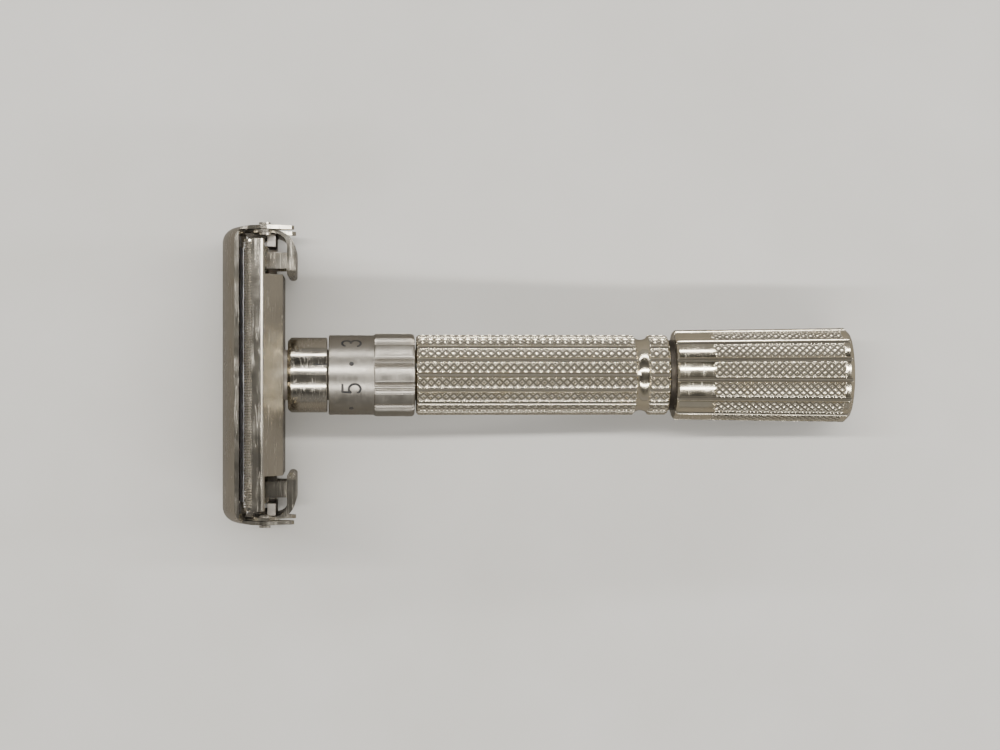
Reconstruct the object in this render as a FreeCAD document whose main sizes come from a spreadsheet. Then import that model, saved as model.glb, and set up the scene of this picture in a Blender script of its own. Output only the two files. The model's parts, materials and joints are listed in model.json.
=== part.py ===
"""An adjustable twist-to-open safety razor, as a parametric document.

Every piece is drawn in the razor's own frame: z runs along the handle from the foot of the knob to the top
of the head, x runs across the blade and y along it. The finished pieces are then laid down together, as the
razor lies on a table: on the edge of one safety bar and the rim of the knob.
"""

import FreeCAD, Part

import math
import os

import Sketcher

Vector = FreeCAD.Vector
doc = FreeCAD.newDocument("safety_razor")
sheet = doc.addObject("Spreadsheet::Sheet", "Dims")

# ---------------------------------------------------------------------------------------------------------
# Driving dimensions, in millimetres and degrees

DIMENSIONS = {
    "knob_radius": 7.2,
    "knob_top_radius": 6.8,
    "knob_top": 26.9,
    "knob_foot": 0.15,
    "knob_chamfer": 0.7,
    "knob_grooves": 14,
    "knob_groove_depth": 0.4,
    "knob_groove_half_width": 0.34,
    "cap_radius": 5.6,
    "cap_height": 1.6,
    "washer_height": 0.8,
    "tube_radius": 6.05,
    "tube_bottom": 27.9,
    "tube_top": 65.9,
    "tube_bore": 4.8,
    "shoulder_length": 5.7,
    "tube_grooves": 16,
    "tube_groove_depth": 0.3,
    "tube_groove_half_width": 0.32,
    "ring_height": 3.15,
    "waist_length": 1.8,
    "waist_curve": 1.65,
    "edge_break": 0.3,
    "barrel_radius": 3.8,
    "barrel_bore": 2.6,
    "barrel_bottom": 36.4,
    "dial_bottom": 66.2,
    "dial_top": 79.1,
    "dial_grip_height": 6.1,
    "dial_ring_radius": 6.0,
    "dial_grip_radius": 6.25,
    "dial_bore": 5.0,
    "dial_floor": 1.2,
    "dial_steps": 10,
    "dial_groove_depth": 0.28,
    "thread_lead": 1.0,
    "neck_bottom": 79.3,
    "neck_top": 85.2,
    "neck_radius": 5.65,
    "leg_inner": 3.9,
    "leg_outer": 4.9,
    "leg_bottom": 69.4,
    "web_bottom": 85.8,
    "web_height": 0.7,
    "web_half_length": 14.8,
    "bar_half_length": 19.9,
    "bar_top": 91.4,
    "bar_reach": 12.7,
    "bar_bevel": 2.3,
    "blade_radius": 40.0,
    "blade_middle": 93.0,
    "blade_thickness": 0.1,
    "blade_half_width": 10.85,
    "blade_half_length": 21.35,
    "seat_clearance": 0.02,
    "platform_bottom": 91.4,
    "platform_half_width": 8.3,
    "platform_half_length": 18.7,
    "shoe_bottom": 83.9,
    "shoe_top": 85.2,
    "shoe_inner": 14.2,
    "shoe_half_width": 8.8,
    "cap_bend": 3.2,
    "plate_inner": 20.9,
    "ear_inner": 21.45,
    "ear_outer": 22.0,
    "hinge_across": 10.2,
    "hinge_height": 88.4,
    "hinge_pin_radius": 0.5,
    "driver_across": 6.7,
    "driver_height": 87.5,
    "driver_pin_radius": 0.4,
    "pin_clearance": 0.06,
    "slot_clearance": 0.08,
    "lift": 2.6,
    "door_turn": 85.0,
    "door_radius": 23.5,
    "door_wall": 0.7,
    "door_top": 95.0,
    "door_reach": 9.75,
    "door_seam": 0.12,
    "door_fold": 2.2,
    "door_lip_rise": 0.42,
    "bar_half_width": 1.5,
    "bar_thickness": 1.2,
    "rod_radius": 1.7,
    "rod_bottom": 22.5,
    "rod_thread_root": 1.78,
    "rod_thread_crest": 2.15,
    "nut_thread_crest": 1.88,
    "nut_thread_root": 2.25,
    "thread_foot": 0.44,
    "thread_tip": 0.2,
    "drive_lead": 2.08,
    "nut_bottom": 29.5,
    "spindle_top": 36.0,
    "spindle_radius": 3.3,
    "ring_groove_bottom": 33.8,
    "ring_groove_height": 0.6,
    "ball_radius": 0.5,
    "ball_circle": 4.9,
    "detent_depth": 3.5,
    "spring_wire": 0.4,
}

for row, (alias, number) in enumerate(DIMENSIONS.items(), start=1):
    sheet.set(f"A{row}", alias)
    sheet.set(f"B{row}", str(number))
    sheet.setAlias(f"B{row}", alias)
doc.recompute()


class Size:
    """A number together with the spreadsheet expression that gives it."""

    def __init__(self, value, text):
        self.value = value
        self.text = text

    def _join(self, other, sign, value):
        text = other.text if isinstance(other, Size) else repr(float(other))
        return Size(value, f"({self.text} {sign} {text})")

    def __add__(self, other):
        return self._join(other, "+", self.value + number_of(other))

    def __sub__(self, other):
        return self._join(other, "-", self.value - number_of(other))

    def __mul__(self, other):
        return self._join(other, "*", self.value * number_of(other))

    def __truediv__(self, other):
        return self._join(other, "/", self.value / number_of(other))

    def __neg__(self):
        return self * -1


def number_of(size):
    return size.value if isinstance(size, Size) else float(size)


class Dims:
    """The sheet's cells, each as a Size."""


D = Dims()
for alias, number in DIMENSIONS.items():
    setattr(D, alias, Size(number, f"Dims.{alias}"))


def arc_height(radius, crest, across):
    """Height of an arch of this radius and crest height, at a distance across from its middle."""
    value = crest.value - radius.value + math.sqrt(radius.value**2 - number_of(across) ** 2)
    across_text = across.text if isinstance(across, Size) else repr(float(across))
    return Size(value, f"({crest.text} - {radius.text} + sqrt({radius.text}^2 - {across_text}^2))")


# ---------------------------------------------------------------------------------------------------------
# Drawing helpers


def bind(thing, prop, size):
    """Gives a property its size and ties it to the sheet when the size comes from there."""
    if isinstance(size, Size):
        thing.setExpression(prop, size.text)
    else:
        setattr(thing, prop, size)


def origin_feature(body, role):
    return [f for f in body.Origin.OriginFeatures if f.Role == role][0]


def new_body(label):
    body = doc.addObject("PartDesign::Body", label)
    body.Label = label
    return body


def new_sketch(body, plane, height=0.0):
    """An empty sketch on one of the body's own origin planes, raised along the plane's normal."""
    sketch = body.newObject("Sketcher::SketchObject", body.Label + "_sketch")
    sketch.AttachmentSupport = [(origin_feature(body, plane + "_Plane"), "")]
    sketch.MapMode = "FlatFace"
    bind_offset(sketch, height)
    return sketch


def bind_offset(sketch, height):
    if isinstance(height, Size):
        sketch.setExpression("AttachmentOffset.Base.z", height.text)
    elif height:
        sketch.AttachmentOffset = FreeCAD.Placement(Vector(0, 0, height), FreeCAD.Rotation())


def place_point(sketch, geometry, position, across, up):
    """Ties one end of a line or arc to its place, measured from the sketch's origin."""
    for kind, size in (("DistanceX", across), ("DistanceY", up)):
        value = number_of(size)
        if abs(value) < 1e-9:
            axis = -2 if kind == "DistanceX" else -1
            sketch.addConstraint(Sketcher.Constraint("PointOnObject", geometry, position, axis))
            continue
        index = sketch.addConstraint(Sketcher.Constraint(kind, -1, 1, geometry, position, value))
        if isinstance(size, Size):
            sketch.setExpression(f"Constraints[{index}]", size.text)


def arc_between(start, end, radius):
    """An arc from start to end; a positive radius turns left of the chord's far side, counter-clockwise."""
    middle = (start + end) * 0.5
    chord = end - start
    height = math.sqrt(max(radius**2 - (chord.Length / 2) ** 2, 0))
    normal = Vector(-chord.y, chord.x, 0).normalize()
    centre = middle + normal * (height if radius > 0 else -height)
    first, last = (start, end) if radius > 0 else (end, start)
    angles = [math.atan2(p.y - centre.y, p.x - centre.x) for p in (first, last)]
    circle = Part.Circle(centre, Vector(0, 0, 1), abs(radius))
    return Part.ArcOfCircle(circle, angles[0], angles[1])


def draw(sketch, corners):
    """Draws a closed outline. Each corner is (across, up), or (across, up, radius) where the side that
    starts at that corner is an arc: counter-clockwise for a positive radius, clockwise for a negative one."""
    points = [Vector(number_of(c[0]), number_of(c[1]), 0) for c in corners]
    first = sketch.GeometryCount
    ends = []
    for i, corner in enumerate(corners):
        start, end = points[i], points[(i + 1) % len(points)]
        if len(corner) == 3:
            radius = corner[2]
            sketch.addGeometry(arc_between(start, end, number_of(radius)), False)
            ends.append((1, 2) if number_of(radius) > 0 else (2, 1))
        else:
            sketch.addGeometry(Part.LineSegment(start, end), False)
            ends.append((1, 2))
    for i, corner in enumerate(corners):
        following = (i + 1) % len(corners)
        sketch.addConstraint(
            Sketcher.Constraint("Coincident", first + i, ends[i][1], first + following, ends[following][0])
        )
    for i, corner in enumerate(corners):
        place_point(sketch, first + i, ends[i][0], corner[0], corner[1])
        if len(corner) == 3:
            radius = abs(number_of(corner[2]))
            index = sketch.addConstraint(Sketcher.Constraint("Radius", first + i, radius))
            if isinstance(corner[2], Size):
                sign = "" if number_of(corner[2]) > 0 else "-1 * "
                sketch.setExpression(f"Constraints[{index}]", sign + corner[2].text)


def mirrored(corners):
    """The same outline on the other side of the upright axis, walked the other way round."""
    flipped = []
    for i in range(len(corners)):
        corner = corners[-i]
        side_back = corners[-i - 1]
        flipped.append((-corner[0], corner[1], *side_back[2:]))
    return flipped


def draw_circle(sketch, across, up, radius):
    centre = Vector(number_of(across), number_of(up), 0)
    index = sketch.addGeometry(Part.Circle(centre, Vector(0, 0, 1), number_of(radius)), False)
    place_point(sketch, index, 3, across, up)
    constraint = sketch.addConstraint(Sketcher.Constraint("Radius", index, number_of(radius)))
    if isinstance(radius, Size):
        sketch.setExpression(f"Constraints[{constraint}]", radius.text)


def turn(body, corners, cut=False):
    """A solid of revolution about z, or a groove when cut, from an outline of (radius, height) corners."""
    sketch = new_sketch(body, "XZ")
    draw(sketch, corners)
    kind = "PartDesign::Groove" if cut else "PartDesign::Revolution"
    feature = body.newObject(kind, body.Label + "_turned")
    feature.Profile = sketch
    feature.ReferenceAxis = (sketch, ["V_Axis"])
    feature.Angle = 360
    return feature


def pad(body, sketch, length, symmetric=False, reverse=False):
    feature = body.newObject("PartDesign::Pad", body.Label + "_pad")
    feature.Profile = sketch
    feature.SideType = "Symmetric" if symmetric else "One side"
    feature.Reversed = reverse
    bind(feature, "Length", length)
    return feature


def pocket(body, sketch, length, symmetric=False, reverse=False):
    feature = body.newObject("PartDesign::Pocket", body.Label + "_pocket")
    feature.Profile = sketch
    feature.SideType = "Symmetric" if symmetric else "One side"
    feature.Reversed = reverse
    bind(feature, "Length", length)
    return feature


def repeat_around(body, features, count):
    """Repeats features round the z axis, count times in a full turn."""
    pattern = body.newObject("PartDesign::PolarPattern", body.Label + "_pattern")
    pattern.Originals = features
    pattern.Axis = (origin_feature(body, "Z_Axis"), [""])
    pattern.Angle = 360
    bind(pattern, "Occurrences", count)
    body.Tip = pattern
    return pattern


def mirror(body, features, plane):
    pattern = body.newObject("PartDesign::Mirrored", body.Label + "_mirrored")
    pattern.Originals = features
    pattern.MirrorPlane = (origin_feature(body, plane + "_Plane"), [""])
    body.Tip = pattern
    return pattern


def edges_where(shape, test):
    """Names of the edges whose middle, length and curve pass the test."""
    return [f"Edge{i}" for i, edge in enumerate(shape.Edges, start=1) if test(edge)]


def dress(body, kind, edges, size):
    """Adds a Fillet or a Chamfer to edges of the body's last feature."""
    base = body.Tip
    feature = body.newObject("PartDesign::" + kind, body.Label + "_" + kind.lower())
    feature.Base = (base, edges)
    bind(feature, "Radius" if kind == "Fillet" else "Size", size)
    return feature


def is_circle(edge, radius, height, slack=0.01):
    curve = edge.Curve
    return (
        isinstance(curve, Part.Circle)
        and abs(curve.Radius - radius) < slack
        and abs(curve.Center.z - height) < slack
    )


def shape_feature(label, shape):
    """A piece whose shape is set directly."""
    feature = doc.addObject("Part::Feature", label)
    feature.Label = label
    feature.Shape = shape
    return feature


def cut_by(label, base, tool):
    result = doc.addObject("Part::Cut", label)
    result.Label = label
    result.Base = base
    result.Tool = tool
    return result


def cylinder(radius, bottom, top, x=0.0, y=0.0):
    return Part.makeCylinder(radius, top - bottom, Vector(x, y, bottom))


def ring(inner, outer, bottom, top):
    return cylinder(outer, bottom, top).cut(cylinder(inner, bottom - 1, top + 1))


def block(low, high):
    return Part.makeBox(high[0] - low[0], high[1] - low[1], high[2] - low[2], Vector(*low))


def cross_pin(radius, x, z, start, end):
    """A round pin along y, between two places on it in either order."""
    return Part.makeCylinder(radius, abs(end - start), Vector(x, min(start, end), z), Vector(0, 1, 0))


def helical_ridge(lead, bottom, turns, root, crest, foot, tip, start_angle=0.0):
    """A screw ridge of trapezoid section, foot wide at the root radius and tip wide at the crest radius. The
    crest is the larger radius on a shaft and the smaller one in a nut."""
    helix = Part.makeLongHelix(lead, lead * turns, root)
    helix.translate(Vector(0, 0, bottom))
    sunk = root - math.copysign(0.05, crest - root)
    section = [
        Vector(sunk, 0, bottom - foot / 2),
        Vector(crest, 0, bottom - tip / 2),
        Vector(crest, 0, bottom + tip / 2),
        Vector(sunk, 0, bottom + foot / 2),
    ]
    profile = Part.makePolygon(section + section[:1])
    ridge = Part.Wire(helix.Edges).makePipeShell([profile], True, True)
    ridge.rotate(Vector(0, 0, 0), Vector(0, 0, 1), start_angle)
    return ridge


def coil(x, y, radius, wire, bottom, top, turns):
    """A compression spring of round wire, upright at (x, y)."""
    pitch = (top - bottom - wire) / turns
    foot = Vector(x, y, bottom + wire / 2)
    helix = Part.makeLongHelix(pitch, pitch * turns, radius)
    helix.translate(foot)
    circle = Part.Circle(foot + Vector(radius, 0, 0), Vector(0, 1, 0), wire / 2)
    return Part.Wire(helix.Edges).makePipeShell([Part.Wire(circle.toShape())], True, True)


def of(name):
    """The number in a cell, for shapes that are set directly."""
    return float(sheet.get(name))


# ---------------------------------------------------------------------------------------------------------
# Handle

RIVET_RADIUS = 1.2  # of the rod's top end, riveted through the door carrier



def draw_flute(sketch, radius, depth, half_width):
    """The section of one long flute: a narrow trapezoid that opens outwards over the x axis."""
    above = radius + 0.2
    floor = radius - depth
    draw(
        sketch,
        [
            (above, -half_width - 0.1),
            (above, half_width + 0.1),
            (floor, half_width * 0.4),
            (floor, -half_width * 0.4),
        ],
    )


def make_handle_tube():
    """The outer barrel: a fluted grip, a waist and a narrow ring above the knob."""
    body = new_body("handle_tube")
    ring_top = D.tube_bottom + D.ring_height
    grip_bottom = ring_top + D.waist_length
    turn(
        body,
        [
            (D.tube_bore, D.tube_bottom),
            (D.tube_radius - D.edge_break, D.tube_bottom),
            (D.tube_radius, D.tube_bottom + D.edge_break),
            (D.tube_radius, ring_top - D.edge_break),
            (D.tube_radius - D.edge_break, ring_top, -D.waist_curve),
            (D.tube_radius - D.edge_break, grip_bottom),
            (D.tube_radius, grip_bottom + D.edge_break),
            (D.tube_radius, D.tube_top - D.edge_break),
            (D.tube_radius - D.edge_break, D.tube_top),
            (D.barrel_radius, D.tube_top),
            (D.barrel_radius, D.tube_top - D.shoulder_length),
            (D.tube_bore, D.tube_top - D.shoulder_length),
        ],
    )
    groove = new_sketch(body, "XY")
    draw_flute(groove, D.tube_radius, D.tube_groove_depth, D.tube_groove_half_width)
    flute = pocket(body, groove, D.tube_top + 1, reverse=True)
    repeat_around(body, [flute], D.tube_grooves)

    seat = new_sketch(body, "XY", D.tube_top - D.detent_depth)
    draw_circle(seat, *detent_place(), D.ball_radius + 0.05)
    pocket(body, seat, D.detent_depth + 1, reverse=True)
    return body


def detent_place():
    """Where the dial's click ball stands, seen along the handle."""
    angle = math.radians(INDEX_ANGLE)
    return D.ball_circle * math.cos(angle), D.ball_circle * math.sin(angle)


def make_knob():
    """The twist knob, wider at its foot, with long flutes, a spindle socket and a recess for its cap."""
    body = new_body("knob")
    inner = D.spindle_radius
    turn(
        body,
        [
            (inner, D.cap_height + 0.4),
            (D.cap_radius, D.cap_height + 0.4),
            (D.cap_radius, D.knob_foot),
            (D.knob_radius - D.knob_chamfer, D.knob_foot),
            (D.knob_radius, D.knob_foot + D.knob_chamfer),
            (D.knob_top_radius, D.knob_top - D.edge_break),
            (D.knob_top_radius - D.edge_break, D.knob_top),
            (inner, D.knob_top),
        ],
    )
    groove = new_sketch(body, "XY")
    draw_flute(groove, D.knob_radius, D.knob_groove_depth, D.knob_groove_half_width)
    flute = pocket(body, groove, D.knob_top + 1)
    flute.UseCustomVector = True
    flute.Direction = Vector(of("knob_top_radius") - of("knob_radius"), 0, of("knob_top"))
    repeat_around(body, [flute], D.knob_grooves)
    return body


def make_knob_cap():
    """The flat disc that closes the foot of the knob."""
    body = new_body("knob_end_cap")
    turn(
        body,
        [
            (0, 0),
            (D.cap_radius - 0.25, 0),
            (D.cap_radius - 0.03, 0.25),
            (D.cap_radius - 0.03, D.cap_height + 0.35),
            (0, D.cap_height + 0.35),
        ],
    )
    return body


def make_thrust_washer():
    body = new_body("thrust_washer")
    bottom = D.knob_top + 0.05
    turn(
        body,
        [
            (D.spindle_radius + 0.08, bottom),
            (D.tube_radius - 0.75, bottom),
            (D.tube_radius - 0.75, bottom + D.washer_height),
            (D.spindle_radius + 0.08, bottom + D.washer_height),
        ],
    )
    return body


def make_bottom_bushing():
    """Sits in the foot of the handle tube, runs on the spindle and holds the foot of the inner barrel."""
    body = new_body("bottom_bushing")
    pocket_bottom = D.ring_groove_bottom - 0.1
    top = D.barrel_bottom + 3.6
    turn(
        body,
        [
            (D.spindle_radius + D.pin_clearance, D.tube_bottom),
            (D.tube_bore, D.tube_bottom),
            (D.tube_bore, top),
            (D.barrel_radius, top),
            (D.barrel_radius, D.barrel_bottom),
            (D.tube_bore - 0.5, D.barrel_bottom),
            (D.tube_bore - 0.5, pocket_bottom),
            (D.spindle_radius + D.pin_clearance, pocket_bottom),
        ],
    )
    return body


def make_inner_barrel():
    """The tube that joins knob to head. Its top is split along y, so that the door carrier can rise."""
    body = new_body("inner_barrel")
    turn(
        body,
        [
            (D.barrel_bore, D.barrel_bottom),
            (D.barrel_radius, D.barrel_bottom),
            (D.barrel_radius, D.platform_bottom),
            (D.barrel_bore, D.platform_bottom),
        ],
    )
    slot = new_sketch(body, "XZ")
    half_width = D.bar_half_width + 0.1
    slot_bottom = D.driver_height - D.bar_thickness / 2 - 0.1
    draw(
        slot,
        [
            (-half_width, slot_bottom),
            (half_width, slot_bottom),
            (half_width, D.platform_bottom + 1),
            (-half_width, D.platform_bottom + 1),
        ],
    )
    pocket(body, slot, D.barrel_radius * 4, symmetric=True)
    return body


def make_drive_spindle():
    """The brass spindle fixed in the knob: a bearing, a snap-ring groove and the internal drive screw."""
    groove = of("ring_groove_bottom")
    height = of("ring_groove_height")
    radius = of("spindle_radius")
    foot, relief_bottom, relief_radius = 2.05, 4.0, 2.45
    body = cylinder(radius, foot, of("spindle_top"))
    body = body.cut(ring(radius - 0.5, radius + 1, groove, groove + height))
    body = body.cut(cylinder(relief_radius, relief_bottom, of("nut_bottom")))
    body = body.cut(cylinder(of("nut_thread_root"), of("nut_bottom") - 1, of("spindle_top") + 1))
    pitch = of("drive_lead") / 2
    rise = 0.4
    for start in (0, 180):
        thread = helical_ridge(
            of("drive_lead"),
            of("nut_bottom") + pitch / 2 + rise,
            2.3,
            of("nut_thread_root"),
            of("nut_thread_crest"),
            of("thread_foot"),
            of("thread_tip"),
            start + rise / of("drive_lead") * 360,
        )
        body = body.fuse(thread)
    return shape_feature("drive_spindle", body)


def make_retaining_ring():
    """The open snap ring that keeps the spindle in its bushing."""
    groove = of("ring_groove_bottom")
    height = of("ring_groove_height")
    radius = of("spindle_radius")
    clip = ring(radius - 0.45, of("tube_bore") - 0.6, groove + 0.08, groove + height - 0.08)
    gap = block((0, -1.0, groove - 1), (of("tube_bore") + 1, 1.0, groove + height + 1))
    return shape_feature("retaining_ring", clip.cut(gap))


def make_drive_rod():
    """The rod that lifts the door carrier. It is screwed through the spindle and can't turn."""
    bar_top = of("driver_height") + of("bar_thickness") / 2
    bar_bottom = of("driver_height") - of("bar_thickness") / 2
    thread_top = of("spindle_top") + 0.2
    body = cylinder(of("rod_thread_root"), of("rod_bottom"), thread_top)
    body = body.fuse(cylinder(of("rod_radius"), thread_top, bar_bottom))
    body = body.fuse(cylinder(RIVET_RADIUS, bar_bottom, bar_top))
    guide_radius = of("barrel_bore") - of("pin_clearance")
    guide_length = 4.0
    for bottom in (48.0, 79.0):
        body = body.fuse(cylinder(guide_radius, bottom, bottom + guide_length))
    turns_below = 2.6
    for start in (0, 180):
        thread = helical_ridge(
            of("drive_lead"),
            of("nut_bottom") - of("drive_lead") * turns_below,
            turns_below + 2.8,
            of("rod_thread_root"),
            of("rod_thread_crest"),
            of("thread_foot"),
            of("thread_tip"),
            start - turns_below * 360,
        )
        body = body.fuse(thread)
    return shape_feature("drive_rod", body.removeSplitter())


# ---------------------------------------------------------------------------------------------------------
# Adjuster

INDEX_ANGLE = 16.0  # degrees round the handle, from the x axis, to the setting mark and the click ball
LEG_SPREAD = 100.0  # degrees of the circle that each of the guard's two legs takes
LUG_FOOT, LUG_CREST = 0.5, 0.3  # width of the lugs at their foot and crest
LUG_HEIGHT = 0.28
LUG_TURN = 60.0


def sector(outer, bottom, top, centre_angle, spread):
    """A wedge of a round bar, centred on centre_angle, in degrees from the x axis."""
    wedge = Part.makeCylinder(outer, top - bottom, Vector(0, 0, bottom), Vector(0, 0, 1), spread)
    wedge.rotate(Vector(0, 0, 0), Vector(0, 0, 1), centre_angle - spread / 2)
    return wedge


def make_guard_legs():
    """The collar and two legs that hang from the guard into the dial, each with a screw lug."""
    inner, outer = of("leg_inner"), of("leg_outer")
    top = of("web_bottom") + of("web_height")
    shape = ring(inner, outer, of("web_bottom"), top)
    for angle in (0, 180):
        leg = sector(outer, of("leg_bottom"), top, angle, LEG_SPREAD)
        shape = shape.fuse(leg.cut(cylinder(inner, of("leg_bottom") - 1, top + 1)))
        lug = helical_ridge(
            of("thread_lead"),
            lug_height(angle) - of("thread_lead") * LUG_TURN / 720,
            LUG_TURN / 360,
            outer,
            outer + LUG_HEIGHT,
            LUG_FOOT,
            LUG_CREST,
            angle - LUG_TURN / 2,
        )
        shape = shape.fuse(lug)
    return shape_feature("guard_legs", shape)


def lug_height(angle):
    """Height of the middle of the lug that stands at this angle round the screw."""
    return of("leg_bottom") + 2.0 + of("thread_lead") * angle / 360


def make_dial():
    """The adjusting dial: a smooth number ring over a ribbed grip, with a screw groove inside."""
    body = new_body("dial_blank")
    grip_top = D.dial_bottom + D.dial_grip_height
    step = 0.2
    turn(
        body,
        [
            (D.barrel_radius + 0.08, D.dial_bottom),
            (D.dial_grip_radius - 0.35, D.dial_bottom),
            (D.dial_grip_radius, D.dial_bottom + 0.35),
            (D.dial_grip_radius, grip_top - step),
            (D.dial_ring_radius, grip_top),
            (D.dial_ring_radius, D.dial_top - 0.12),
            (D.dial_ring_radius - 0.12, D.dial_top),
            (D.dial_bore, D.dial_top),
            (D.dial_bore, D.dial_bottom + D.dial_floor),
            (D.barrel_radius + 0.08, D.dial_bottom + D.dial_floor),
        ],
    )
    ball_track = new_sketch(body, "XZ")
    track_depth = 0.14
    draw(
        ball_track,
        [
            (D.ball_circle - 0.3, D.dial_bottom - 1),
            (D.ball_circle + 0.3, D.dial_bottom - 1),
            (D.ball_circle + 0.3, D.dial_bottom + track_depth),
            (D.ball_circle - 0.3, D.dial_bottom + track_depth),
        ],
    )
    track = body.newObject("PartDesign::Groove", "ball_track")
    track.Profile = ball_track
    track.ReferenceAxis = (ball_track, ["V_Axis"])
    track.Angle = 360

    dimple = new_sketch(body, "XY", D.dial_bottom)
    draw_circle(dimple, *detent_place(), 0.3)
    dent = pocket(body, dimple, 0.32, reverse=True)
    repeat_around(body, [dent], D.dial_steps)

    grooves = []
    for angle in (12.6, 18.0, 23.4):
        grooves.append(grip_groove(body, math.radians(angle)))
    repeat_around(body, grooves, D.dial_steps)
    doc.recompute()

    turns = 1.35
    groove_cut = helical_ridge(
        of("thread_lead"),
        lug_height(0) - of("thread_lead") * 1.1,
        turns + 0.8,
        of("leg_outer") + 0.02,
        of("leg_outer") + LUG_HEIGHT + 0.1,
        LUG_FOOT + 0.16,
        LUG_CREST + 0.16,
        -1.1 * 360,
    )
    screw = shape_feature("dial_screw_groove", groove_cut)
    return cut_by("dial", body, screw)


def grip_groove(body, angle):
    """One narrow groove of the dial's grip, cut along z at an angle round the dial."""
    sketch = new_sketch(body, "XY", D.dial_bottom - 0.1)
    direction = Vector(math.cos(angle), math.sin(angle), 0)
    side = Vector(-direction.y, direction.x, 0)
    depth_radius = D.dial_grip_radius.value - D.dial_groove_depth.value
    outer_radius = D.dial_grip_radius.value + 0.2
    half_width = 0.15
    points = [
        direction * outer_radius - side * (half_width + 0.06),
        direction * outer_radius + side * (half_width + 0.06),
        direction * depth_radius + side * half_width * 0.5,
        direction * depth_radius - side * half_width * 0.5,
    ]
    draw(sketch, [(p.x, p.y) for p in points])
    return pocket(body, sketch, D.dial_grip_height - 0.5, reverse=True)


def make_neck():
    """The fixed collar between dial and head, with two windows for the guard's legs."""
    body = ring(of("barrel_radius"), of("neck_radius"), of("neck_bottom"), of("neck_top"))
    rim = [e for e in body.Edges if is_circle(e, of("neck_radius"), of("neck_top"))]
    body = body.makeChamfer(0.5, rim)
    foot = [e for e in body.Edges if is_circle(e, of("neck_radius"), of("neck_bottom"))]
    body = body.makeChamfer(0.15, foot)
    for angle in (0, 180):
        low, high = of("neck_bottom") - 1, of("neck_top") + 1
        body = body.cut(sector(of("leg_outer") + 0.06, low, high, angle, LEG_SPREAD + 3))
    notch = block((5.15, -0.14, of("neck_bottom") - 1), (6.5, 0.14, of("neck_bottom") + 2.2))
    notch.rotate(Vector(0, 0, 0), Vector(0, 0, 1), INDEX_ANGLE)
    return shape_feature("neck_collar", body.cut(notch))


def make_guard_spring():
    radius = (of("leg_inner") + of("leg_outer")) / 2
    bottom = of("dial_bottom") + of("dial_floor") + 0.02
    spring = coil(0, 0, radius, of("spring_wire"), bottom, of("leg_bottom") - 0.02, 3.5)
    return shape_feature("guard_spring", spring)


def make_detent():
    """The ball that clicks into the dial's dimples, and the small spring under it."""
    x, y = (number_of(size) for size in detent_place())
    centre = Vector(x, y, of("dial_bottom") + 0.1 - of("ball_radius"))
    ball = Part.makeSphere(of("ball_radius"), centre)
    spring_top = centre.z - of("ball_radius") - 0.02
    spring = coil(x, y, 0.33, 0.16, spring_top - 2.0, spring_top, 5)
    return shape_feature("detent_ball", ball), shape_feature("detent_spring", spring)


# ---------------------------------------------------------------------------------------------------------
# Head

FOLD_STEP = 1.0  # how far from the ears the ceiling of a door is lowered, where the roof folds down
FOLD_DROP = 0.7
PIN_BOSS = 1.05  # radius of the metal round a hinge pin
STUDS = (-11.5, 0, 11.5)  # places along y of the studs that centre the blade
THROUGH = 60.0  # longer than the head, for holes that go through both ends


def make_guard():
    """The safety bars and the tray that joins them. The tray's floor rides up and down with the dial."""
    top = D.web_bottom + D.web_height
    bar_foot = D.bar_top - 3.0
    section = [
        (8.9, D.web_bottom),
        (12.15, bar_foot),
        (D.bar_reach, D.bar_top - D.bar_bevel),
        (D.bar_reach + 0.03, D.bar_top - 1.2),
        (D.bar_reach - 0.35, D.bar_top - 0.25),
        (D.bar_reach - 0.8, D.bar_top),
        (D.bar_reach - 1.25, D.bar_top - 0.25),
        (D.bar_reach - 1.55, D.bar_top - 1.2),
        (D.bar_reach - 1.75, D.bar_top - 2.1),
        (8.5, top),
    ]
    body = new_body("guard")
    whole = new_sketch(body, "XZ")
    left = [(-across, up) for across, up in reversed(section)]
    draw(whole, section + left)
    pad(body, whole, D.web_half_length * 2, symmetric=True)

    end_bar = [
        (D.bar_reach - 1.75, bar_foot),
        (12.15, bar_foot),
    ] + section[2:9]
    bars = new_sketch(body, "XZ")
    draw(bars, end_bar)
    bar = pad(body, bars, D.bar_half_length * 2, symmetric=True)
    mirror(body, [bar], "YZ")

    hole = new_sketch(body, "XY", D.web_bottom - 1)
    draw_circle(hole, 0, 0, D.leg_outer)
    pocket(body, hole, 3, reverse=True)
    return body


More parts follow.
